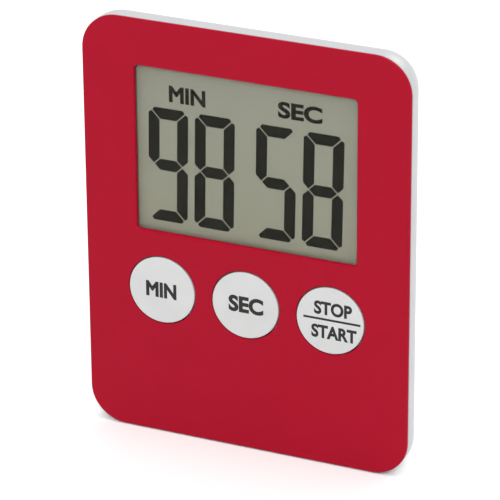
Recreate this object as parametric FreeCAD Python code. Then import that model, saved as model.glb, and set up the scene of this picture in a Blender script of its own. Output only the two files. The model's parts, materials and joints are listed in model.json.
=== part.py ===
import FreeCAD, Part
import math
import os

from FreeCAD import Vector

# Slim magnetic kitchen timer. All sizes are in millimetres.
#
# Frame: +Z up, +X to the right of someone facing the display, +Y out of the back.
# The origin is the centre of the magnet's face, which is the part that touches the steel it hangs on.
# Sizes through the thickness are given as a depth behind the front face, and at() turns one into Y.

# ---- driving dimensions -------------------------------------------------------------------
WIDTH = 66.3
HEIGHT = 85.0
CORNER = 7.2  # outline's corner radius
EDGE_DEPTH = 0.5  # how thick the front shell is at its edge
SEAM = 0.2  # between the front shell's edge and the rear cover
BODY_DEPTH = 8.8  # front face to flat back
MAGNET_PROUD = 0.2
FRONT_WALL = 1.4
WINDOW_WALL = 0.8  # what is left of the front wall round the window
REAR_WALL = 1.1
FRONT_ROUND = 0.25
COVER_ROUND = 0.4  # the rear cover's edge beside the seam
BACK_ROUND = 6.4
PLUG_INSET, PLUG_WALL, PLUG_DEPTH = REAR_WALL + 0.1, 1.0, 2.8  # the part of the front shell inside the cover

WINDOW_WIDTH, WINDOW_HEIGHT, WINDOW_CORNER = 45.0, 33.3, 0.8
WINDOW_Z = 59.0 - HEIGHT / 2  # a height above the bottom edge, less half the height, is a Z
WINDOW_ROUND = 0.55

BUTTON_RADIUS = 6.8
BUTTON_GAP = 0.22
BUTTON_PITCH = 17.4
BUTTON_Z = 30.3 - HEIGHT / 2
BUTTON_PROUD = 0.2
BUTTON_TRAVEL = 0.5
KEY_REACH = BUTTON_RADIUS + 1.15  # how far the key that stops a button turning sticks out, below its centre
BUTTONS = {"min": -BUTTON_PITCH, "sec": 0.0, "start_stop": BUTTON_PITCH}

# depths of the layers behind the window and behind the buttons
FRONT_POLARISER_DEPTH = (WINDOW_WALL + 0.02, 0.95)
FRONT_GLASS_DEPTH = (0.95, 1.40)
CRYSTAL_DEPTH = (1.40, 1.45)
SEGMENT_DEPTH = (1.42, 1.45)
REAR_GLASS_DEPTH = (1.45, 1.90)
REFLECTOR_DEPTH = (1.90, 2.05)
CAP_BACK = 2.0  # where each button's boss and flange end
PILL_THICKNESS, CONTACT_INK = 0.4, 0.03
BOARD_DEPTH = (4.30, 5.30)
MAT_DEPTH, DOME_RADIUS = 3.7, 5.15
PILL_CLEARANCE = 0.02  # left between pill and contacts at full travel
PILL_DEPTH = BOARD_DEPTH[0] - CONTACT_INK - PILL_CLEARANCE - BUTTON_TRAVEL - PILL_THICKNESS
GLASS_HALF_WIDTH = WINDOW_WIDTH / 2 + 1.0
GLASS_BOTTOM = WINDOW_Z - WINDOW_HEIGHT / 2 - 3.4
GLASS_TOP = WINDOW_Z + WINDOW_HEIGHT / 2 + 1.8
REAR_GLASS_BOTTOM = GLASS_BOTTOM + 2.2  # the front glass sticks out below it as a contact ledge

BOARD_HALF_WIDTH = 23.7
BOARD_BOTTOM, BOARD_TOP = 21.7 - HEIGHT / 2, 81.7 - HEIGHT / 2
BOARD_SCREWS = [(x, z - HEIGHT / 2) for x, z in ((-8.7, 23.3), (8.7, 23.3), (-17.0, 80.1), (17.0, 80.1))]
CASE_SCREWS = [(x, z - HEIGHT / 2) for x in (-26.0, 26.0) for z in (9.0, 76.3)]
CASE_POST_END = 6.25  # depth where the front shell's screw posts end
CASE_SCREW_SEAT = 7.5  # depth of the ledge under each case screw's head

CELL_Z = 14.0 - HEIGHT / 2
CELL_RADIUS = 5.8
CELL_DEPTH = (2.1, 7.5)
CHAMBER_RADIUS, CHAMBER_OUTER = 6.1, 7.1
CHAMBER_FOOT = 2.7
SHELF_DEPTH = (5.4, 6.0)  # the step that the door's tabs turn on
LIP_DEPTH = (6.9, 7.6)  # the lip that the tabs turn under
LIP_RADIUS = 6.9
CAVITY_RADIUS, CAVITY_OUTER = 8.0, 8.8
DOOR_RADIUS = 8.5
DOOR_GAP = 0.15
TAB_COUNT = 3
TAB_HALF_ANGLE = 20.0
DOOR_TURN = 50.0
CAN_RIM, CAP_RADIUS = 5.2, 4.7  # the seal lies between the can's crimped rim and the cap
CUP_FLOOR = 4.5

STRIP = 0.25  # thickness of the contacts' metal
CONTACT_BASE, LEAF_HALF = 1.45, 1.5

MAGNET_WIDTH, MAGNET_HEIGHT, MAGNET_THICKNESS = 30.0, 14.0, 1.5
GLUE = 0.05
BUZZER_Z = 66.0 - HEIGHT / 2
BUZZER_RADIUS, CERAMIC_RADIUS = 10.0, 7.0
BUZZER_DEPTH = (7.0, 7.2)
CERAMIC_DEPTH = (6.8, 7.0)
SOUND_HOLE = 0.65

# digits on the display
DIGIT_WIDTH, DIGIT_HEIGHT, STROKE = 8.15, 23.1, 2.25
DIGIT_Z = 55.8 - HEIGHT / 2
PAIR_XS, DIGIT_PITCH = (-11.55, 10.5), 9.55
DIGITS_SHOWN = ["abcdfg", "abcdefg", "acdfg", "abcdefg"]  # 98 minutes, 58 seconds
DIGIT_LEAN = 0.02  # sideways lean per mm of height
SEGMENT_GAP = 0.24
OUTER_CHAMFER = 1.15

OVERCUT = 0.5  # cutting tools run this far past a face


# ---- helpers ------------------------------------------------------------------------------
def at(depth):
    """Y of a depth behind the front face."""
    return depth - BODY_DEPTH - MAGNET_PROUD


def rounded_wire(width, height, radius, depth, x=0.0, z=0.0):
    """A rounded rectangle facing along Y."""
    y = at(depth)
    hw, hh = width / 2, height / 2
    ix, iz = hw - radius, hh - radius
    s = radius * math.sqrt(0.5)
    edges = []
    for sx, sz, first_along_x in ((1, 1, False), (-1, 1, True), (-1, -1, False), (1, -1, True)):
        on_side = Vector(x + sx * hw, y, z + sz * iz)
        on_end = Vector(x + sx * ix, y, z + sz * hh)
        middle = Vector(x + sx * (ix + s), y, z + sz * (iz + s))
        start, end = (on_end, on_side) if first_along_x else (on_side, on_end)
        if edges:
            edges.append(Part.makeLine(edges[-1].lastVertex().Point, start))
        edges.append(Part.Arc(start, middle, end).toShape())
    edges.append(Part.makeLine(edges[-1].lastVertex().Point, edges[0].firstVertex().Point))
    return Part.Wire(edges)


def prism(wire, depth_span):
    """A closed wire that faces along Y, extruded backwards through a span of depth."""
    return Part.Face(wire).extrude(Vector(0, depth_span[1] - depth_span[0], 0))


def slab(width, height, radius, depth_span, x=0.0, z=0.0):
    """A rounded rectangular plate that fills a span of depth."""
    return prism(rounded_wire(width, height, radius, depth_span[0], x, z), depth_span)


def disc(radius, depth_span, x=0.0, z=0.0):
    """A round plate or post along Y."""
    start = Vector(x, at(depth_span[0]), z)
    return Part.makeCylinder(radius, depth_span[1] - depth_span[0], start, Vector(0, 1, 0))


def ring(outer, inner, depth_span, x=0.0, z=0.0):
    long_span = (depth_span[0] - OVERCUT, depth_span[1] + OVERCUT)
    return disc(outer, depth_span, x, z).cut(disc(inner, long_span, x, z))


def block(x_span, z_span, depth_span):
    """An upright box from three spans."""
    corner = Vector(x_span[0], at(depth_span[0]), z_span[0])
    size = [s[1] - s[0] for s in (x_span, depth_span, z_span)]
    return Part.makeBox(size[0], size[1], size[2], corner)


def turned(profile, x, z):
    """A solid of revolution about an axis along Y. The profile is a list of (radius, depth) corners."""
    points = [Vector(x + r, at(d), z) for r, d in profile]
    face = Part.Face(Part.makePolygon(points + points[:1]))
    return face.revolve(Vector(x, 0, z), Vector(0, 1, 0), 360)


def polygon_plate(corners, depth_span):
    """A flat plate cut to a polygon of (x, z) corners."""
    points = [Vector(x, at(depth_span[0]), z) for x, z in corners]
    return prism(Part.makePolygon(points + points[:1]), depth_span)


def on_circle(radius, degrees, x=0.0, z=0.0):
    """A point of a circle, by its angle from +Z towards +X: the way a positive turn about +Y goes."""
    a = math.radians(degrees)
    return x + radius * math.sin(a), z + radius * math.cos(a)


def sector(outer, inner, middle, half_angle, depth_span, x, z):
    """Part of a ring, centred on one angle."""
    reach = outer * 2
    steps = [middle - half_angle, middle, middle + half_angle]
    corners = [(x, z)] + [on_circle(reach, a, x, z) for a in steps]
    return ring(outer, inner, depth_span, x, z).common(polygon_plate(corners, depth_span))


def edges_at(shape, depth, test=lambda edge: True):
    """The edges that lie wholly at one depth and pass a test."""
    y = at(depth)
    flat = [e for e in shape.Edges if max(abs(e.BoundBox.YMin - y), abs(e.BoundBox.YMax - y)) < 1e-6]
    return [e for e in flat if test(e)]


def joined(first, *others):
    return first.fuse(list(others)).removeSplitter()


def screw(x, z, head_depth, length, head_radius, head_height, core_radius, thread_radius, pitch):
    """A self-tapping screw driven in from the back: pan head with a cross recess, ring-shaped threads."""
    head_top, plain_neck, point = head_depth + head_height, 1.6, 0.5
    tip = head_depth - length
    profile = [
        (0, head_top), (head_radius * 0.7, head_top), (head_radius, head_depth + head_height * 0.45),
        (head_radius, head_depth), (core_radius, head_depth),
    ]
    depth = head_depth - plain_neck
    while depth - pitch > tip + point:
        profile.append((core_radius, depth))
        profile.append((thread_radius, depth - pitch * 0.4))
        profile.append((core_radius, depth - pitch * 0.8))
        depth -= pitch
    profile += [(core_radius, tip + point), (0, tip)]
    arm, half = head_radius * 0.62, head_radius * 0.13
    recess_span = (head_depth + head_height * 0.4, head_top + OVERCUT)
    across = block((x - arm, x + arm), (z - half, z + half), recess_span)
    up = block((x - half, x + half), (z - arm, z + arm), recess_span)
    return turned(profile, x, z).cut(joined(across, up))


# ---- housing ------------------------------------------------------------------------------
def front_shell():
    """The coloured front: a thin plate that plugs into the cover, with its window, holes, ribs and posts."""
    through_wall = (-OVERCUT, FRONT_WALL + OVERCUT)
    plate = inset_slab(0, (0, EDGE_DEPTH))
    plate = plate.makeFillet(FRONT_ROUND, edges_at(plate, 0))
    plug = inset_slab(PLUG_INSET, (FRONT_ROUND, PLUG_DEPTH))
    hollow = inset_slab(PLUG_INSET + PLUG_WALL, (FRONT_WALL, PLUG_DEPTH + OVERCUT))
    window = slab(WINDOW_WIDTH, WINDOW_HEIGHT, WINDOW_CORNER, through_wall, 0, WINDOW_Z)
    shell = joined(plate, plug).cut(hollow).cut(window)

    def at_window(edge):
        middle = edge.CenterOfMass
        half_width, half_height = WINDOW_WIDTH / 2 + 0.1, WINDOW_HEIGHT / 2 + 0.1
        return abs(middle.x) < half_width and abs(middle.z - WINDOW_Z) < half_height

    shell = shell.makeFillet(WINDOW_ROUND, edges_at(shell, 0, at_window))

    hole_radius, hole_round = BUTTON_RADIUS + BUTTON_GAP, 0.12
    for x in BUTTONS.values():
        shell = shell.cut(disc(hole_radius, through_wall, x, BUTTON_Z))

    def at_button_hole(edge):
        return abs(edge.CenterOfMass.z - BUTTON_Z) < 0.1 and edge.BoundBox.ZLength < 2 * hole_radius + 0.1

    shell = shell.makeFillet(hole_round, edges_at(shell, 0, at_button_hole))

    rooted = FRONT_WALL - 0.2  # ribs and posts start inside the wall, so that they are one piece with it
    rib_wall, rib_back = 0.7, 3.2
    parts = [display_seat(rib_wall, (rooted, rib_back))]
    rib_near, rib_far = 1.0, 1.7  # each button's key slides between two ribs
    for x in BUTTONS.values():
        for side in (-1, 1):
            rib_x = sorted((x + side * rib_near, x + side * rib_far))
            parts.append(block(rib_x, (BUTTON_Z - 8.7, BUTTON_Z - 7.6), (rooted, CAP_BACK + 0.2)))
    pilots = []
    for x, z in CASE_SCREWS:
        parts.append(disc(2.2, (rooted, CASE_POST_END), x, z))
        pilots.append(disc(0.85, (FRONT_WALL + 0.2, CASE_POST_END + OVERCUT), x, z))
    for x, z in BOARD_SCREWS:
        parts.append(disc(1.6, (rooted, BOARD_DEPTH[0]), x, z))
        pilots.append(disc(0.6, (FRONT_WALL + 0.1, BOARD_DEPTH[0] + OVERCUT), x, z))
    seat = display_seat(0, (WINDOW_WALL, rib_back + OVERCUT))
    return joined(shell, *parts).cut(pilots[0].fuse(pilots[1:])).cut(seat)


def display_seat(wall, depth_span):
    """The outline that the display sits in, with a little play, grown by a wall."""
    grown = 0.15 + wall
    width, height = 2 * (GLASS_HALF_WIDTH + grown), GLASS_TOP - GLASS_BOTTOM + 2 * grown
    return slab(width, height, 0.2 + wall, depth_span, 0, (GLASS_TOP + GLASS_BOTTOM) / 2)


def inset_slab(inset, depth_span):
    """The timer's outline, drawn in by an inset, as a plate."""
    return slab(WIDTH - 2 * inset, HEIGHT - 2 * inset, CORNER - inset, depth_span)


def cover_outside():
    """The pale back as a solid: wide rounded edges behind, and a small round beside the seam."""
    front = EDGE_DEPTH + SEAM
    solid = inset_slab(0, (front, BODY_DEPTH))
    solid = solid.makeFillet(BACK_ROUND, edges_at(solid, BODY_DEPTH))
    return solid.makeFillet(COVER_ROUND, edges_at(solid, front))


def cover_inside():
    """The space inside the pale back."""
    floor = BODY_DEPTH - REAR_WALL
    space = inset_slab(REAR_WALL, (0, floor))
    return space.makeFillet(BACK_ROUND - REAR_WALL, edges_at(space, floor))


def battery_chamber():
    """The stepped cup for the cell: narrow round the cell, wide under the door's bayonet lip."""
    lip_back = BODY_DEPTH - 0.4
    profile = [
        (CHAMBER_RADIUS, CHAMBER_FOOT), (CHAMBER_OUTER, CHAMBER_FOOT), (CHAMBER_OUTER, SHELF_DEPTH[0]),
        (CAVITY_OUTER, SHELF_DEPTH[0]), (CAVITY_OUTER, lip_back), (LIP_RADIUS, lip_back),
        (LIP_RADIUS, LIP_DEPTH[0]), (CAVITY_RADIUS, LIP_DEPTH[0]), (CAVITY_RADIUS, SHELF_DEPTH[1]),
        (CHAMBER_RADIUS, SHELF_DEPTH[1]),
    ]
    cup = turned(profile, 0, CELL_Z)
    stop_inner, stop_half, clear = 7.2, 2.5, 1.0
    stop_span = (SHELF_DEPTH[1] - 0.1, LIP_DEPTH[0] + 0.1)
    swing = TAB_HALF_ANGLE + clear + stop_half
    stops = [
        sector(CAVITY_RADIUS + 0.3, stop_inner, angle, stop_half, stop_span, 0, CELL_Z)
        for angle in (-swing, DOOR_TURN + swing)
    ]
    slot_span = (CHAMBER_FOOT - OVERCUT, SHELF_DEPTH[0] - 0.1)
    slot = block((5.0, 7.6), (CELL_Z - 2.3, CELL_Z + 2.3), slot_span)  # where the positive contact reaches in
    return joined(cup, *stops).cut(slot)


def rear_cover():
    """The back shell with the battery chamber, door seat, magnet pocket, sound holes and screw holes."""
    floor, outside = BODY_DEPTH - REAR_WALL, BODY_DEPTH + OVERCUT
    through_floor = (floor - OVERCUT, outside)
    pocket_wall, pocket_play = 0.8, 0.3
    pocket_floor = BODY_DEPTH + MAGNET_PROUD - MAGNET_THICKNESS - GLUE
    pocket_span = (pocket_floor - pocket_wall, floor + 0.2)
    pocket_width, pocket_height = MAGNET_WIDTH + 2 * pocket_wall, MAGNET_HEIGHT + 2 * pocket_wall

    # what stands up inside, before the openings are cut through it
    seat_outer, seat_inner = 9.4, 8.6
    inside = [
        slab(pocket_width, pocket_height, 1.5, pocket_span),
        ring(9.6, 8.6, (BUZZER_DEPTH[1], floor + 0.2), 0, BUZZER_Z),
        battery_chamber(),
        ring(seat_outer, seat_inner, (floor, BODY_DEPTH), 0, CELL_Z),
    ]
    inside += [disc(2.6, (CASE_POST_END + 0.05, floor + 0.3), x, z) for x, z in CASE_SCREWS]
    solid = cover_outside()
    cover = solid.cut(cover_inside()).cut(disc(seat_inner + 0.1, (4.0, outside), 0, CELL_Z))
    cover = joined(cover, *[piece.common(solid) for piece in inside])

    cuts = [
        disc(DOOR_RADIUS + DOOR_GAP, (LIP_DEPTH[1], outside), 0, CELL_Z),
        slab(MAGNET_WIDTH + pocket_play, MAGNET_HEIGHT + pocket_play, 1.0, (pocket_floor, outside)),
        disc(SOUND_HOLE, through_floor, 0, BUZZER_Z),
    ]
    notch_span = (LIP_DEPTH[0] - 0.2, LIP_DEPTH[1] + OVERCUT)
    for i in range(TAB_COUNT):  # notches that let the door's tabs in
        middle = 360.0 / TAB_COUNT * i + DOOR_TURN
        notch = sector(CAVITY_RADIUS, LIP_RADIUS - 0.4, middle, TAB_HALF_ANGLE + 3, notch_span, 0, CELL_Z)
        cuts.append(notch)
    for count, radius in ((6, 3.0), (12, 6.0)):
        for i in range(count):
            x, z = on_circle(radius, 360.0 / count * i, 0, BUZZER_Z)
            cuts.append(disc(SOUND_HOLE, through_floor, x, z))
    for x, z in CASE_SCREWS:
        cuts.append(disc(1.15, (CASE_POST_END - OVERCUT, BODY_DEPTH), x, z))
        cuts.append(disc(2.05, (CASE_SCREW_SEAT, outside), x, z))
    for angle in (0, DOOR_TURN):  # the locked and open marks beside the door
        cuts.append(door_mark(DOOR_RADIUS + 1.6, angle))
    return cover.cut(cuts[0].fuse(cuts[1:]))


def door_mark(radius, angle):
    """The cutter for a small round dimple, at a distance and an angle from the door's axis."""
    x, z = on_circle(radius, angle, 0, CELL_Z)
    return disc(0.5, (BODY_DEPTH - 0.2, BODY_DEPTH + OVERCUT), x, z)


def battery_door():
    """The twist-lock door: coin slot outside, collar and three bayonet tabs inside. Drawn locked."""
    play = 0.1
    inner_end = SHELF_DEPTH[1] + play
    head = disc(DOOR_RADIUS, (LIP_DEPTH[1] + 0.05, BODY_DEPTH), 0, CELL_Z)
    head = head.makeFillet(0.2, edges_at(head, BODY_DEPTH))
    collar = ring(LIP_RADIUS - 0.2, CELL_RADIUS + 0.2, (inner_end, LIP_DEPTH[1] + 0.25), 0, CELL_Z)
    tab_span = (inner_end, LIP_DEPTH[0] - play)
    tabs = []
    for i in range(TAB_COUNT):
        angle = 360.0 / TAB_COUNT * i
        tab = sector(CAVITY_RADIUS - 0.2, LIP_RADIUS - 0.5, angle, TAB_HALF_ANGLE, tab_span, 0, CELL_Z)
        tabs.append(tab)
    coin_slot = slab(10.6, 1.5, 0.7, (BODY_DEPTH - 0.7, BODY_DEPTH + OVERCUT), 0, CELL_Z)
    return joined(head, collar, *tabs).cut(coin_slot.fuse([door_mark(DOOR_RADIUS - 1.3, 0)]))


# ---- buttons ------------------------------------------------------------------------------
def button_cap(x):
    """A hard cap: guided disc, flange with a key that stops it turning, boss that presses the pad."""
    flange, skirt, boss = 7.4, 6.0, 3.2
    flange_front, hollow_end = 1.5, 0.9
    profile = [
        (0, -BUTTON_PROUD), (BUTTON_RADIUS, -BUTTON_PROUD), (BUTTON_RADIUS, flange_front),
        (flange, flange_front), (flange, CAP_BACK), (skirt, CAP_BACK), (skirt, hollow_end),
        (boss, hollow_end), (boss, CAP_BACK), (0, CAP_BACK),
    ]
    cap = turned(profile, x, BUTTON_Z)
    cap = cap.makeFillet(0.22, edges_at(cap, -BUTTON_PROUD))
    key = block((x - 0.8, x + 0.8), (BUTTON_Z - KEY_REACH, BUTTON_Z - 7.0), (flange_front, CAP_BACK))
    return joined(cap, key)


def key_plunger(x):
    return disc(2.6, (CAP_BACK, PILL_DEPTH), x, BUTTON_Z)


def carbon_pill(x):
    return disc(2.4, (PILL_DEPTH, PILL_DEPTH + PILL_THICKNESS), x, BUTTON_Z)


def key_dome(x):
    """The thin conical web of the rubber pad, which buckles when its key is pressed."""
    back, crown, foot = BOARD_DEPTH[0], 2.65, DOME_RADIUS - 0.45
    outside = [(crown, 2.45), (DOME_RADIUS, MAT_DEPTH), (DOME_RADIUS, back)]
    inside = [(foot, back), (foot, MAT_DEPTH + 0.2), (crown, 2.8)]
    return turned(outside + inside, x, BUTTON_Z)


def keypad_mat():
    """The flat part of the rubber pad, which lies on the board round the three domes."""
    mat = slab(46.6, 13.9, 2.0, (MAT_DEPTH, BOARD_DEPTH[0]), 0, BUTTON_Z + 0.35)
    through = (MAT_DEPTH - OVERCUT, BOARD_DEPTH[0] + OVERCUT)
    holes = [disc(DOME_RADIUS, through, x, BUTTON_Z) for x in BUTTONS.values()]
    holes += [disc(1.8, through, x, z) for x, z in BOARD_SCREWS[:2]]
    return mat.cut(holes[0].fuse(holes[1:]))


# ---- display ------------------------------------------------------------------------------
def glass_plate(margin, bottom, depth_span):
    """One rectangular sheet of the display stack."""
    top = GLASS_TOP - margin
    return block((-GLASS_HALF_WIDTH + margin, GLASS_HALF_WIDTH - margin), (bottom, top), depth_span)


def crystal_seal():
    """The line of glue that closes the gap between the two glasses."""
    outer = glass_plate(0.3, REAR_GLASS_BOTTOM + 0.1, CRYSTAL_DEPTH)
    bore = glass_plate(0.9, REAR_GLASS_BOTTOM + 0.7, (CRYSTAL_DEPTH[0] - 0.1, CRYSTAL_DEPTH[1] + 0.1))
    return outer.cut(bore)


def segment_corners():
    """Corners of the seven segments about the digit's centre, as (x, z), cut apart at 45 degrees."""
    hw, hh, half = DIGIT_WIDTH / 2, DIGIT_HEIGHT / 2, STROKE / 2
    gap = SEGMENT_GAP * math.sqrt(0.5)  # from the middle of a gap to its side, along x or z
    inner_x, inner_z, chamfer = hw - STROKE, hh - STROKE, OUTER_CHAMFER
    cut_x, cut_z = hw - chamfer / 2, hh - chamfer / 2
    top = [
        (-hw + chamfer, hh), (hw - chamfer, hh), (cut_x - gap, cut_z), (inner_x - gap, inner_z),
        (-inner_x + gap, inner_z), (-cut_x + gap, cut_z),
    ]
    upper_left = [
        (-hw, hh - chamfer), (-cut_x, cut_z - gap), (-inner_x, inner_z - gap), (-inner_x, half + gap),
        (-hw + half, gap), (-hw, half + gap),
    ]
    middle = [
        (-hw + half + gap, 0), (-inner_x + gap, half), (inner_x - gap, half),
        (hw - half - gap, 0), (inner_x - gap, -half), (-inner_x + gap, -half),
    ]

    def flipped(corners, across, up):
        return [(x * across, z * up) for x, z in corners]

    return {
        "a": top,
        "b": flipped(upper_left, -1, 1),
        "c": flipped(upper_left, -1, -1),
        "d": flipped(top, 1, -1),
        "e": flipped(upper_left, 1, -1),
        "f": upper_left,
        "g": middle,
    }


def lcd_segments():
    """The dark segments that are switched on, each a separate thin solid in the gap between the glasses."""
    corners = segment_corners()
    digit_xs = [pair + side * DIGIT_PITCH / 2 for pair in PAIR_XS for side in (-1, 1)]
    solids = []
    for x, shown in zip(digit_xs, DIGITS_SHOWN):
        for name in shown:
            leaned = [(x + px + DIGIT_LEAN * pz, DIGIT_Z + pz) for px, pz in corners[name]]
            solids.append(polygon_plate(leaned, SEGMENT_DEPTH))
    return Part.makeCompound(solids)


def zebra_connector():
    """The striped rubber bar that joins the front glass's contact ledge to the board."""
    x_span, z_span = (-22.5, 22.5), (GLASS_BOTTOM + 0.3, GLASS_BOTTOM + 1.9)
    return block(x_span, z_span, (FRONT_GLASS_DEPTH[1], BOARD_DEPTH[0]))


def foam_pad():
    return slab(40.0, 28.0, 1.0, (REFLECTOR_DEPTH[1], BOARD_DEPTH[0]), 0, WINDOW_Z)


# ---- circuit ------------------------------------------------------------------------------
def circuit_board():
    height = BOARD_TOP - BOARD_BOTTOM
    board = slab(2 * BOARD_HALF_WIDTH, height, 0.8, BOARD_DEPTH, 0, (BOARD_TOP + BOARD_BOTTOM) / 2)
    long_span = (BOARD_DEPTH[0] - OVERCUT, BOARD_DEPTH[1] + OVERCUT)
    holes = [disc(0.9, long_span, x, z) for x, z in BOARD_SCREWS]
    return board.cut(holes[0].fuse(holes[1:]))


def key_contacts():
    """Printed carbon pads on the board, two facing halves under each key."""
    front = BOARD_DEPTH[0] - CONTACT_INK
    half_gap, reach = 0.2, 4.0
    solids = []
    for x in BUTTONS.values():
        pad = disc(2.9, (front, BOARD_DEPTH[0]), x, BUTTON_Z)
        gap_span = (front - OVERCUT, BOARD_DEPTH[0] + OVERCUT)
        gap = block((x - half_gap, x + half_gap), (BUTTON_Z - reach, BUTTON_Z + reach), gap_span)
        solids += pad.cut(gap).Solids
    return Part.makeCompound(solids)


def chip_cover():
    """The black resin drop over the bare chip."""
    x, z, radius, height = -14.0, 12.5, 5.0, 1.0
    drop = disc(radius, (BOARD_DEPTH[1], BOARD_DEPTH[1] + height), x, z)
    return drop.makeFillet(0.8, edges_at(drop, BOARD_DEPTH[1] + height))


def clock_crystal():
    """The small metal can of the clock crystal, lying on the board, with its two leads."""
    x, bottom, radius, length = 18.0, 14.0, 1.0, 6.0
    lead_radius, lead_length, lead_x = 0.15, 2.0, 0.4
    y = at(BOARD_DEPTH[1] + radius)
    can = Part.makeCylinder(radius, length, Vector(x, y, bottom), Vector(0, 0, 1))
    leads = []
    for side in (-1, 1):
        start = Vector(x + side * lead_x, y, bottom - lead_length + 0.1)
        leads.append(Part.makeCylinder(lead_radius, lead_length, start, Vector(0, 0, 1)))
    return joined(can, *leads)


def small_components(places, width, height, thickness):
    """Chip components on the back of the board, by their (x, z) centres."""
    span = (BOARD_DEPTH[1], BOARD_DEPTH[1] + thickness)
    solids = []
    for x, z in places:
        solids.append(block((x - width / 2, x + width / 2), (z - height / 2, z + height / 2), span))
    return Part.makeCompound(solids)


def soft_path(points, radius):
    """Straight runs joined by tangent arcs of one radius."""
    edges, start = [], points[0]
    for before, corner, after in zip(points, points[1:], points[2:]):
        u, v = (corner - before).normalize(), (after - corner).normalize()
        turn = u.getAngle(v)
        trim = radius * math.tan(turn / 2)
        enter, leave = corner - u * trim, corner + v * trim
        inward = (v - u).normalize()
        middle = corner + inward * (radius / math.cos(turn / 2) - radius)
        edges += [Part.makeLine(start, enter), Part.Arc(enter, middle, leave).toShape()]
        start = leave
    edges.append(Part.makeLine(start, points[-1]))
    return Part.Wire(edges)


def buzzer_wire(side, contact_depth, contact_radius):
    """An insulated wire from a layer of the buzzer to the back of the board, in an upright plane."""
    x, wire_radius, bend = side * 3.0, 0.3, 0.5
    at_buzzer, at_board = at(contact_depth - wire_radius), at(BOARD_DEPTH[1] + wire_radius)
    points = [
        Vector(x, at_buzzer, BUZZER_Z - contact_radius),
        Vector(x, at_buzzer, 11.5),
        Vector(x, at_board, 10.6),
        Vector(x, at_board, 9.0),
    ]
    path = soft_path(points, bend)
    section = Part.Wire(Part.makeCircle(wire_radius, points[0], Vector(0, 0, 1)))
    return path.makePipeShell([section], True, True)


# ---- cell and its contacts ----------------------------------------------------------------
def cell_can():
    """The cell's steel cup, crimped in round its mouth and chamfered round its base."""
    mouth, shoulder = 2.35, 0.2
    profile = [
        (0, CUP_FLOOR), (CAN_RIM, CUP_FLOOR), (CAN_RIM, mouth), (CELL_RADIUS - shoulder, mouth),
        (CELL_RADIUS, mouth + shoulder), (CELL_RADIUS, CELL_DEPTH[1] - 0.3), (5.5, CELL_DEPTH[1]),
        (0, CELL_DEPTH[1]),
    ]
    return turned(profile, 0, CELL_Z)


def cell_cap():
    """The cell's negative cap, with a bevelled edge."""
    bevel = [(CAP_RADIUS - 0.3, CELL_DEPTH[0]), (CAP_RADIUS, CELL_DEPTH[0] + 0.25)]
    return turned([(0, CELL_DEPTH[0])] + bevel + [(CAP_RADIUS, CUP_FLOOR), (0, CUP_FLOOR)], 0, CELL_Z)


def cell_gasket():
    return ring(CAN_RIM, CAP_RADIUS, (CELL_DEPTH[0] + 0.2, CUP_FLOOR), 0, CELL_Z)


def contact_strip(side, inner_x):
    """The strip both contacts share: along the floor, up past the board's edge and folded over its back."""
    base, back = CONTACT_BASE, BOARD_DEPTH[1] + 0.3
    floor_span = (base, base + STRIP)
    width_span = (CELL_Z - LEAF_HALF, CELL_Z + LEAF_HALF)
    edge_z = BOARD_BOTTOM - 0.65
    leg_near, leg_far = 10.6, 13.0
    leg = sorted((side * leg_near, side * leg_far))
    pieces = [
        block(sorted((side * inner_x, side * leg_far)), width_span, floor_span),
        block(leg, (CELL_Z - LEAF_HALF, edge_z + STRIP), floor_span),
        block(leg, (edge_z, edge_z + STRIP), (base, back)),
        block(leg, (edge_z, BOARD_BOTTOM + 1.6), (back - STRIP, back)),
    ]
    return joined(*pieces)


def negative_contact():
    bump = disc(1.2, (CONTACT_BASE + 0.15, CELL_DEPTH[0]), 0, CELL_Z)
    bump = bump.makeFillet(0.3, edges_at(bump, CELL_DEPTH[0]))
    return joined(contact_strip(-1, -2.2), bump)


def positive_contact():
    """The strip with a leaf that stands beside the cell and touches the can with a nub."""
    leaf_x = CELL_RADIUS + 0.1
    leaf = block((leaf_x, leaf_x + STRIP), (CELL_Z - LEAF_HALF, CELL_Z + LEAF_HALF), (CONTACT_BASE, 5.2))
    nub = block((CELL_RADIUS, leaf_x + 0.1), (CELL_Z - 0.5, CELL_Z + 0.5), (3.5, 4.5))
    return joined(contact_strip(1, leaf_x), leaf, nub)


# ---- magnet and buzzer --------------------------------------------------------------------
def magnet():
    back = BODY_DEPTH + MAGNET_PROUD
    body = slab(MAGNET_WIDTH, MAGNET_HEIGHT, 1.0, (back - MAGNET_THICKNESS, back))
    return body.makeFillet(0.25, edges_at(body, back))


def magnet_glue():
    back = BODY_DEPTH + MAGNET_PROUD - MAGNET_THICKNESS
    return slab(MAGNET_WIDTH - 1, MAGNET_HEIGHT - 1, 0.8, (back - GLUE, back))


def case_screws():
    size = {"length": 5.8, "head_radius": 1.9, "head_height": 1.0, "core_radius": 0.75, "thread_radius": 1.0}
    return Part.makeCompound([screw(x, z, CASE_SCREW_SEAT, pitch=0.7, **size) for x, z in CASE_SCREWS])


def board_screws():
    size = {"length": 3.4, "head_radius": 1.4, "head_height": 0.7, "core_radius": 0.5, "thread_radius": 0.7}
    return Part.makeCompound([screw(x, z, BOARD_DEPTH[1], pitch=0.5, **size) for x, z in BOARD_SCREWS])


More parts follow.
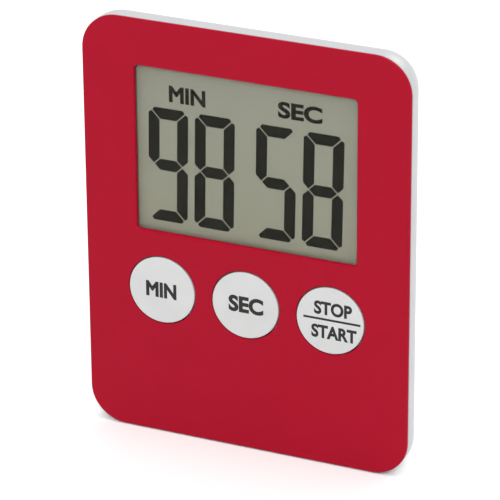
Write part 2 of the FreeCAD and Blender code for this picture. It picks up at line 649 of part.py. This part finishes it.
# ---- the nodes ----------------------------------------------------------------------------
def make_nodes():
    """Every separate piece of the timer, by name."""
    nodes = {
        "front_shell": front_shell(),
        "rear_cover": rear_cover(),
        "battery_door": battery_door(),
        "lcd_front_polariser": glass_plate(0.4, REAR_GLASS_BOTTOM + 0.2, FRONT_POLARISER_DEPTH),
        "lcd_front_glass": glass_plate(0, GLASS_BOTTOM, FRONT_GLASS_DEPTH),
        "lcd_segments": lcd_segments(),
        "lcd_edge_seal": crystal_seal(),
        "lcd_rear_glass": glass_plate(0, REAR_GLASS_BOTTOM, REAR_GLASS_DEPTH),
        "lcd_reflector": glass_plate(0.4, REAR_GLASS_BOTTOM + 0.2, REFLECTOR_DEPTH),
        "lcd_foam_pad": foam_pad(),
        "zebra_connector": zebra_connector(),
        "circuit_board": circuit_board(),
        "board_key_contacts": key_contacts(),
        "chip_resin_cover": chip_cover(),
        "clock_crystal": clock_crystal(),
        "chip_capacitors": small_components([(-7.0, 18.0), (-7.0, 8.0), (12.5, 18.0)], 1.6, 0.9, 0.8),
        "chip_resistors": small_components([(-4.5, 5.0), (12.5, 15.0), (7.5, 3.0)], 1.6, 0.9, 0.45),
        "keypad_mat": keypad_mat(),
        "buzzer_disc": disc(BUZZER_RADIUS, BUZZER_DEPTH, 0, BUZZER_Z),
        "buzzer_ceramic": disc(CERAMIC_RADIUS, CERAMIC_DEPTH, 0, BUZZER_Z),
        "buzzer_wire_red": buzzer_wire(1, CERAMIC_DEPTH[0], CERAMIC_RADIUS - 1),
        "buzzer_wire_black": buzzer_wire(-1, BUZZER_DEPTH[0], CERAMIC_RADIUS + 1),
        "cell_can": cell_can(),
        "cell_cap": cell_cap(),
        "cell_gasket": cell_gasket(),
        "negative_contact": negative_contact(),
        "positive_contact": positive_contact(),
        "magnet": magnet(),
        "magnet_glue": magnet_glue(),
        "case_screws": case_screws(),
        "board_screws": board_screws(),
    }
    for name, x in BUTTONS.items():
        nodes[f"button_{name}"] = button_cap(x)
        nodes[f"key_plunger_{name}"] = key_plunger(x)
        nodes[f"carbon_pill_{name}"] = carbon_pill(x)
        nodes[f"key_dome_{name}"] = key_dome(x)
    return nodes


os.makedirs("parts", exist_ok=True)
for node_name, shape in make_nodes().items():
    volume = sum(s.Volume for s in shape.Solids)
    state = "ok" if all(s.isValid() and s.Volume > 0 for s in shape.Solids) else "UNSOUND"
    print(f"{node_name:24s} solids {len(shape.Solids):2d}  volume {volume:9.3f} mm3  {state}")
    shape.exportStep(f"parts/{node_name}.step")
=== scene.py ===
"""The kitchen timer's looks: a material for every CAD piece, copies of the rubber webs, printed words,
a studio and the camera. Places are in the CAD model's frame, in metres unless said otherwise."""

import json
import math
from collections import namedtuple
from functools import partial

import bpy
from mathutils import Matrix, Vector


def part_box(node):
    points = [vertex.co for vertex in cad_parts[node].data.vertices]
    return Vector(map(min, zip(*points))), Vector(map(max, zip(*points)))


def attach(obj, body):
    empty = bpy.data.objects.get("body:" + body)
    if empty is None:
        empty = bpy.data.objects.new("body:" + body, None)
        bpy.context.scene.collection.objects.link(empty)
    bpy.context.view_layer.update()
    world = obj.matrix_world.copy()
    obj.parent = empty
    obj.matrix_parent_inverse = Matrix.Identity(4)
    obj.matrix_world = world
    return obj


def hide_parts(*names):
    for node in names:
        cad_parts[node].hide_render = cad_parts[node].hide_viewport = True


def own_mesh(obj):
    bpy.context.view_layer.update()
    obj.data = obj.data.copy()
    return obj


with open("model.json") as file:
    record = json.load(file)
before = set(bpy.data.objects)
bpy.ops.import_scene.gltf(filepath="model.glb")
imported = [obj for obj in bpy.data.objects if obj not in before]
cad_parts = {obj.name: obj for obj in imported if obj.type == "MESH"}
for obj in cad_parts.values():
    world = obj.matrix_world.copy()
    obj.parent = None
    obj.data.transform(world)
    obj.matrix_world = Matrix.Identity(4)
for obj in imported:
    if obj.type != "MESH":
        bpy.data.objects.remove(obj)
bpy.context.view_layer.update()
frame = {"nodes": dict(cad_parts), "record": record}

MM = 0.001

# ---- places and sizes ---------------------------------------------------------------------
FACE_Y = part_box("front_shell")[0].y  # the front face
FOOT_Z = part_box("front_shell")[0].z  # the lowest edge
FLOOR_GAP = 0.2 * MM  # between the lowest edge and the floor
FLOOR_REACH = 2.0  # from the middle of the floor to each of its sides
INK = 0.012 * MM  # how far print stands off the surface that it is on

CAMERA_AZIMUTH, CAMERA_ELEVATION, CAMERA_ROLL = 24.02, 24.57, -0.42  # degrees
CAMERA_DISTANCE = 0.6575
CAMERA_LENS, SENSOR_WIDTH = 252.0, 36.0  # millimetres, as Blender wants them
CAMERA_NEAR, CAMERA_FAR = 0.01, 10.0
CAMERA_AIM = Vector((1.045 * MM, FACE_Y, -0.489 * MM))

WORLD_STRENGTH = 0.8
LAMPS = {  # power is in watts
    "overhead": {"place": (0.3, -0.5, 2.0), "size": 1.5, "power": 20.0},
    "key": {"place": (0.8, -1.8, 1.5), "size": 0.3, "power": 20.0},
    "back": {"place": (0.5, 1.4, 1.3), "size": 1.0, "power": 12.0},
}

# A ray crosses two clear sheets and their edges on its way to the display's ground, and again on
# its way from there to a lamp.
CLEAR_CROSSINGS = 24

# ---- words --------------------------------------------------------------------------------
# right and up place the middle of a word, and width and height are its size, all in millimetres.
# weight is how far its strokes are thickened, as a part of the typeface's size.
Word = namedtuple("Word", "text right up width height weight")

KEY_WORDS = {  # by button and by the end of the piece's name, from the button's middle
    "min": {"": Word("MIN", right=-0.1, up=0.05, width=6.4, height=3.2, weight=0.045)},
    "sec": {"": Word("SEC", right=0.2, up=0.15, width=7.2, height=3.45, weight=0.045)},
    "start_stop": {
        "_top": Word("STOP", right=0.65, up=2.5, width=7.7, height=2.8, weight=0.04),
        "_rule": Word("_", right=0.4, up=0.2, width=11.6, height=0.45, weight=0.01),
        "_bottom": Word("START", right=0.85, up=-2.4, width=9.2, height=2.8, weight=0.04),
    },
}
DISPLAY_WORDS = {  # by the end of the piece's name, from the model's middle
    "min": Word("MIN", right=-12.2, up=27.95, width=7.5, height=3.3, weight=0.04),
    "sec": Word("SEC", right=10.7, up=28.35, width=8.9, height=3.35, weight=0.04),
}

# ---- colours and patterns -----------------------------------------------------------------
RED = (0.312, 0.001, 0.015)
PALE_GREY = (0.43, 0.435, 0.445)
BUTTON_GREY = (0.505, 0.515, 0.51)
INK_BLACK = (0.012, 0.012, 0.012)
SEGMENT_BLACK = (0.0085, 0.008, 0.0055)
# The display ground's bottom colour is painted shade: darker and warmer than its top colour.
GROUND_BOTTOM_SHADED, GROUND_TOP = (0.247, 0.247, 0.187), (0.25, 0.257, 0.204)
ZEBRA_SILICONE, ZEBRA_CARBON = (0.62, 0.33, 0.38), (0.05, 0.05, 0.05)
SOLDER_MASK, MASKED_TRACK = (0.006, 0.11, 0.035), (0.02, 0.22, 0.07)
FLOOR_DARK, FLOOR_LIGHT = (0.86, 0.86, 0.86), (0.9, 0.9, 0.9)
ZEBRA_SCALE = 900.0  # of a wave texture, which puts a layer about every 0.35 mm
TRACK_SCALE = 220.0  # of a brick texture, whose bricks are then about 2.3 by 1.1 mm


def shade(colour, factor):
    """A colour made darker or lighter."""
    return tuple(min(1.0, channel * factor) for channel in colour)


def middle_of(node):
    """The middle of a CAD node's box."""
    low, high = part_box(node)
    return (low + high) / 2


# ---- node materials -----------------------------------------------------------------------
class Look:
    """One node material, built up in steps round a single Principled shader."""

    def __init__(self, name, roughness, metallic=0.0, specular=0.5):
        self.material = bpy.data.materials.new(name)
        self.material.use_nodes = True
        self.nodes = self.material.node_tree.nodes
        self.links = self.material.node_tree.links
        self.shader = self.nodes["Principled BSDF"]
        self.shader.inputs["Metallic"].default_value = metallic
        self.shader.inputs["Specular IOR Level"].default_value = specular
        self.roughness = roughness
        self.place = self.nodes.new("ShaderNodeTexCoord").outputs["Object"]

    def mapped(self, scale=(1, 1, 1), turn=(0, 0, 0)):
        """The object's coordinates, turned, and scaled by its own amount along each axis."""
        mapping = self.nodes.new("ShaderNodeMapping")
        mapping.inputs["Scale"].default_value = scale
        mapping.inputs["Rotation"].default_value = turn
        self.links.new(self.place, mapping.inputs["Vector"])
        return mapping.outputs["Vector"]

    def noise(self, size, detail=3.0, vector=None):
        """Cloudy noise from 0 to 1, whose blotches are about size metres across."""
        noise = self.nodes.new("ShaderNodeTexNoise")
        noise.inputs["Scale"].default_value = 1.0 / size
        noise.inputs["Detail"].default_value = detail
        self.links.new(vector or self.place, noise.inputs["Vector"])
        return noise.outputs["Fac"]

    def ranged(self, value, low=0.0, high=1.0, from_low=0.3, from_high=0.7):
        """A value spread from one range to another. Most of a noise lies between 0.3 and 0.7."""
        spread = self.nodes.new("ShaderNodeMapRange")
        spread.inputs["From Min"].default_value = from_low
        spread.inputs["From Max"].default_value = from_high
        spread.inputs["To Min"].default_value = low
        spread.inputs["To Max"].default_value = high
        self.links.new(value, spread.inputs["Value"])
        return spread.outputs["Result"]

    def coloured(self, first, second, factor):
        """Base colour between two colours, by a factor from 0 to 1."""
        mix = self.nodes.new("ShaderNodeMix")
        mix.data_type = "RGBA"
        mix.inputs["A"].default_value = (*first, 1)
        mix.inputs["B"].default_value = (*second, 1)
        self.links.new(factor, mix.inputs["Factor"])
        self.links.new(mix.outputs["Result"], self.shader.inputs["Base Color"])

    def mottled(self, colour, darkest, lightest, pattern):
        """Base colour that wanders between two shades of one colour, as the pattern does."""
        self.coloured(shade(colour, darkest), shade(colour, lightest), self.ranged(pattern))

    def worn(self, size, spread=0.06):
        """Roughness that wanders a little either side of its mean, in patches about size metres across."""
        varied = self.ranged(self.noise(size), self.roughness - spread, self.roughness + spread)
        self.links.new(varied, self.shader.inputs["Roughness"])

    def grained(self, height, strength, depth):
        """Relief from a height value. depth is in metres."""
        bump = self.nodes.new("ShaderNodeBump")
        bump.inputs["Strength"].default_value = strength
        bump.inputs["Distance"].default_value = depth
        self.links.new(height, bump.inputs["Height"])
        self.links.new(bump.outputs["Normal"], self.shader.inputs["Normal"])


def moulded(name, colour, roughness, mottle, specular=0.5, depth=0.012 * MM):
    """Moulded plastic: a hint of mottle in the colour and a fine spark-eroded grain."""
    look = Look(name, roughness, specular=specular)
    look.mottled(colour, 1 - mottle, 1 + mottle, look.noise(6 * MM))
    look.worn(3 * MM, spread=0.03)
    look.grained(look.noise(0.22 * MM, detail=2.0), strength=0.35, depth=depth)
    return look.material


def brushed(name, colour, roughness, along=(1, 1, 18)):
    """Metal with fine lines that run across the axis with the largest number."""
    look = Look(name, roughness, metallic=1.0)
    lines = look.noise(1.1 * MM, detail=4.0, vector=look.mapped(scale=along))
    look.mottled(colour, 0.82, 1.08, lines)
    look.worn(1.5 * MM, spread=0.08)
    look.grained(lines, strength=0.4, depth=0.01 * MM)
    return look.material


def soft(name, colour, roughness=0.62, mottle=0.08):
    """Rubber, silicone and foam: dull, with an uneven skin."""
    look = Look(name, roughness, specular=0.35)
    look.mottled(colour, 1 - mottle, 1 + mottle, look.noise(1.8 * MM))
    look.worn(1 * MM, spread=0.08)
    look.grained(look.noise(0.4 * MM, detail=5.0), strength=0.5, depth=0.04 * MM)
    return look.material


def mineral(name, colour, roughness, speck=0.35 * MM, depth=0.02 * MM, specular=0.5):
    """Ceramic, ferrite, resin and ink: fine specks and a slightly pitted surface."""
    look = Look(name, roughness, specular=specular)
    specks = look.noise(speck, detail=6.0)
    look.mottled(colour, 0.8, 1.15, specks)
    look.worn(2 * MM)
    look.grained(specks, strength=0.4, depth=depth)
    return look.material


def clear(name, colour, alpha, roughness):
    """A clear sheet that lets most light straight through, with faint smears in its gloss."""
    look = Look(name, roughness)
    look.mottled(colour, 0.94, 1.0, look.noise(10 * MM))
    look.worn(8 * MM, spread=0.03)
    look.shader.inputs["Alpha"].default_value = alpha
    return look.material


def striped(name):
    """The zebra strip: thin conducting layers across tinted silicone."""
    look = Look(name, 0.55)
    layers = look.nodes.new("ShaderNodeTexWave")
    layers.inputs["Scale"].default_value = ZEBRA_SCALE
    look.links.new(look.place, layers.inputs["Vector"])
    carbon = look.ranged(layers.outputs["Fac"], from_low=0.45, from_high=0.55)
    look.coloured(ZEBRA_SILICONE, ZEBRA_CARBON, carbon)
    look.worn(1 * MM)
    look.grained(layers.outputs["Fac"], strength=0.3, depth=0.02 * MM)
    return look.material


def laminate(name):
    """Solder mask over copper tracks, which show through it as a net of paler lines."""
    look = Look(name, 0.38)
    tracks = look.nodes.new("ShaderNodeTexBrick")
    tracks.inputs["Scale"].default_value = TRACK_SCALE
    tracks.inputs["Color1"].default_value = (0, 0, 0, 1)
    tracks.inputs["Color2"].default_value = (0.25, 0.25, 0.25, 1)
    tracks.inputs["Mortar"].default_value = (1, 1, 1, 1)
    look.links.new(look.mapped(turn=(math.radians(90), 0, 0)), tracks.inputs["Vector"])
    copper = look.ranged(tracks.outputs["Color"], from_low=0.0, from_high=1.0)
    look.coloured(SOLDER_MASK, MASKED_TRACK, copper)
    look.worn(2 * MM)
    look.grained(tracks.outputs["Color"], strength=0.3, depth=0.02 * MM)
    return look.material


def display_ground(name):
    """The display's grey-green ground, with painted shade that makes it warmer and a little darker towards
    the bottom, faintly mottled.
    """
    look = Look(name, 0.55, specular=0.15)
    place = look.nodes.new("ShaderNodeSeparateXYZ")
    look.links.new(look.place, place.inputs["Vector"])
    low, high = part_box("lcd_rear_glass")
    # painted shade: the ground's colour goes from the shaded bottom colour to the top colour with height
    painted_shade_rise = look.ranged(place.outputs["Z"], from_low=low.z, from_high=high.z)
    haze = look.ranged(look.noise(4 * MM), low=-0.12, high=0.12)
    total = look.nodes.new("ShaderNodeMath")
    total.use_clamp = True
    look.links.new(painted_shade_rise, total.inputs[0])
    look.links.new(haze, total.inputs[1])
    look.coloured(GROUND_BOTTOM_SHADED, GROUND_TOP, total.outputs["Value"])
    look.worn(2 * MM)
    look.grained(look.noise(0.3 * MM, detail=2.0), strength=0.1, depth=0.005 * MM)
    return look.material


def screen_ink(name):
    """Screen-printed ink: almost black, with small thin spots."""
    look = Look(name, 0.55, specular=0.3)
    look.mottled(INK_BLACK, 0.7, 1.5, look.noise(0.4 * MM, detail=4.0))
    look.worn(0.6 * MM)
    look.grained(look.noise(0.2 * MM), strength=0.2, depth=0.004 * MM)
    return look.material


def floor_paper(name):
    """Plain pale paper with broad faint clouds."""
    look = Look(name, 0.7, specular=0.2)
    look.coloured(FLOOR_DARK, FLOOR_LIGHT, look.noise(200 * MM))
    look.worn(50 * MM)
    return look.material


SLOT_LOOKS = {
    "red_shell": partial(moulded, colour=RED, roughness=0.42, mottle=0.02, specular=0.1),
    "grey_cover": partial(moulded, colour=PALE_GREY, roughness=0.36, mottle=0.02, depth=0.005 * MM),
    "button_plastic": partial(moulded, colour=BUTTON_GREY, roughness=0.5, mottle=0.03, specular=0.3),
    "polariser_film": partial(clear, colour=(0.06, 0.065, 0.04), alpha=0.025, roughness=0.45),
    "display_glass": partial(clear, colour=(0.04, 0.05, 0.045), alpha=0.02, roughness=0.2),
    "display_ground": display_ground,
    "segment_black": partial(
        mineral, colour=SEGMENT_BLACK, roughness=0.5, speck=2 * MM, depth=0.001 * MM, specular=0.08
    ),
    "edge_seal": partial(soft, colour=(0.19, 0.15, 0.09)),
    "reflector_film": partial(brushed, colour=(0.6, 0.62, 0.58), roughness=0.4),
    "foam": partial(soft, colour=(0.045, 0.045, 0.045), roughness=0.85, mottle=0.25),
    "zebra_rubber": striped,
    "board_laminate": laminate,
    "carbon_ink": partial(mineral, colour=(0.012, 0.012, 0.013), roughness=0.6),
    "chip_resin": partial(mineral, colour=(0.006, 0.006, 0.006), roughness=0.18, speck=3 * MM),
    "crystal_can": partial(brushed, colour=(0.6, 0.6, 0.58), roughness=0.3),
    "capacitor_ceramic": partial(mineral, colour=(0.4, 0.26, 0.13), roughness=0.45),
    "resistor_ceramic": partial(mineral, colour=(0.012, 0.012, 0.014), roughness=0.3),
    "keypad_silicone": partial(soft, colour=(0.5, 0.5, 0.47)),
    "carbon_rubber": partial(soft, colour=(0.01, 0.01, 0.01), roughness=0.7),
    "buzzer_brass": partial(brushed, colour=(0.68, 0.46, 0.16), roughness=0.32, along=(14, 1, 1)),
    "piezo_ceramic": partial(mineral, colour=(0.72, 0.7, 0.6), roughness=0.4),
    "wire_red": partial(soft, colour=(0.5, 0.012, 0.012), roughness=0.45),
    "wire_black": partial(soft, colour=(0.01, 0.01, 0.01), roughness=0.45),
    "cell_steel": partial(brushed, colour=(0.66, 0.66, 0.64), roughness=0.28),
    "cell_nylon": partial(soft, colour=(0.7, 0.69, 0.62), roughness=0.5),
    "contact_metal": partial(brushed, colour=(0.64, 0.6, 0.52), roughness=0.3),
    "ferrite": partial(
        mineral, colour=(0.028, 0.028, 0.03), roughness=0.5, speck=0.5 * MM, depth=0.03 * MM
    ),
    "glue_film": partial(soft, colour=(0.68, 0.65, 0.55), roughness=0.5),
    "screw_steel": partial(brushed, colour=(0.5, 0.5, 0.5), roughness=0.34),
}


def dress_cad():
    """Gives each CAD piece the look of its material slot."""
    looks = {slot: make(slot) for slot, make in SLOT_LOOKS.items()}
    for entry in frame["record"]["subparts"]:
        piece = frame["nodes"][entry["node"]]
        piece.data.materials.clear()
        piece.data.materials.append(looks[entry["material_slot"]])


# ---- the flexible webs --------------------------------------------------------------------
def flexible_webs():
    """The rubber webs round the plungers, as copies with meshes of their own, attached to the housing; the
    CAD domes are hidden.
    """
    for key in KEY_WORDS:
        node = frame["nodes"][f"key_dome_{key}"]
        web = bpy.data.objects.new(f"key_web_{key}", node.data.copy())
        web.matrix_world = node.matrix_world
        bpy.context.scene.collection.objects.link(web)
        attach(web, "housing")
        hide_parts(node.name)
        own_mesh(web)


# ---- print --------------------------------------------------------------------------------
def lettering(name, word):
    """A word's mesh in Blender's own typeface, with softly rounded edges, before it is sized."""
    curve = bpy.data.curves.new(name, "FONT")
    curve.body = word.text
    curve.bevel_depth = word.weight
    curve.bevel_resolution = 1
    curve.resolution_u = 8
    source = bpy.data.objects.new(name + "_source", curve)
    bpy.context.scene.collection.objects.link(source)
    bpy.context.view_layer.update()
    mesh = bpy.data.meshes.new_from_object(source)
    mesh.name = name
    bpy.data.objects.remove(source)
    return mesh


def printed(name, word, origin, thickness, material, body):
    """A word as a thin raised layer that faces -Y. Its back lies at origin's depth."""
    mesh = lettering(name, word)
    low = [min(vertex.co[i] for vertex in mesh.vertices) for i in range(3)]
    high = [max(vertex.co[i] for vertex in mesh.vertices) for i in range(3)]
    middle = origin + Vector((word.right * MM, 0, word.up * MM))
    for vertex in mesh.vertices:
        across, up, out = ((vertex.co[i] - low[i]) / (high[i] - low[i]) for i in range(3))
        offset = ((across - 0.5) * word.width * MM, -out * thickness, (up - 0.5) * word.height * MM)
        vertex.co = middle + Vector(offset)
    mesh.materials.append(material)
    piece = bpy.data.objects.new(name, mesh)
    bpy.context.scene.collection.objects.link(piece)
    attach(piece, body)


def print_words():
    """The words on the buttons and above the digits."""
    key_ink = screen_ink("key_ink")
    for key, words in KEY_WORDS.items():
        centre = middle_of(f"carbon_pill_{key}")
        face = Vector((centre.x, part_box(f"button_{key}")[0].y, centre.z))
        for suffix, word in words.items():
            printed(f"print_{key}{suffix}", word, face, INK, key_ink, f"{key}_key")

    segment = frame["nodes"]["lcd_segments"].data.materials[0]
    front, back = (corner.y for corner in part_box("lcd_segments"))
    origin = Vector((0, back, 0))
    for end, word in DISPLAY_WORDS.items():
        printed(f"legend_{end}", word, origin, back - front, segment, "housing")


# ---- studio -------------------------------------------------------------------------------
def studio():
    """A pale floor, a white surround, equal lamps above and in front, and a weaker one behind."""
    corners = [(-1, -1), (1, -1), (1, 1), (-1, 1)]
    vertices = [(x * FLOOR_REACH, y * FLOOR_REACH, FOOT_Z - FLOOR_GAP) for x, y in corners]
    mesh = bpy.data.meshes.new("floor")
    mesh.from_pydata(vertices, [], [(0, 1, 2, 3)])
    mesh.materials.append(floor_paper("floor_paper"))
    floor = bpy.data.objects.new("floor", mesh)
    bpy.context.scene.collection.objects.link(floor)

    world = bpy.data.worlds.new("studio")
    world.use_nodes = True
    background = world.node_tree.nodes["Background"]
    background.inputs["Color"].default_value = (1, 1, 1, 1)
    background.inputs["Strength"].default_value = WORLD_STRENGTH
    bpy.context.scene.world = world

    for name, settings in LAMPS.items():
        lamp(name, **settings)


def lamp(name, place, size, power):
    """A square lamp that faces the origin."""
    light = bpy.data.lights.new(name, "AREA")
    light.size = size
    light.energy = power
    lamp_object = bpy.data.objects.new(name, light)
    lamp_object.location = place
    lamp_object.rotation_mode = "QUATERNION"
    lamp_object.rotation_quaternion = Vector(place).to_track_quat("Z", "Y")
    bpy.context.scene.collection.objects.link(lamp_object)


def camera():
    """Looks at the timer from above and to its right, with a long lens."""
    angles = (CAMERA_AZIMUTH, CAMERA_ELEVATION, CAMERA_ROLL)
    azimuth, elevation, roll = (math.radians(angle) for angle in angles)
    ahead = math.cos(elevation)
    back = Vector((math.sin(azimuth) * ahead, -math.cos(azimuth) * ahead, math.sin(elevation)))
    level = Vector((math.cos(azimuth), math.sin(azimuth), 0))
    upright = back.cross(level)
    right = math.cos(roll) * level + math.sin(roll) * upright
    up = back.cross(right)
    data = bpy.data.cameras.new("camera")
    data.lens = CAMERA_LENS
    data.sensor_width = SENSOR_WIDTH
    data.clip_start = CAMERA_NEAR
    data.clip_end = CAMERA_FAR
    camera_object = bpy.data.objects.new("camera", data)
    turn = Matrix((right, up, back)).transposed().to_4x4()
    camera_object.matrix_world = Matrix.Translation(CAMERA_AIM + back * CAMERA_DISTANCE) @ turn
    bpy.context.scene.collection.objects.link(camera_object)
    bpy.context.scene.camera = camera_object


camera()
studio()
dress_cad()
flexible_webs()
print_words()
bpy.context.scene.view_settings.view_transform = "Standard"
bpy.context.scene.cycles.transparent_max_bounces = CLEAR_CROSSINGS
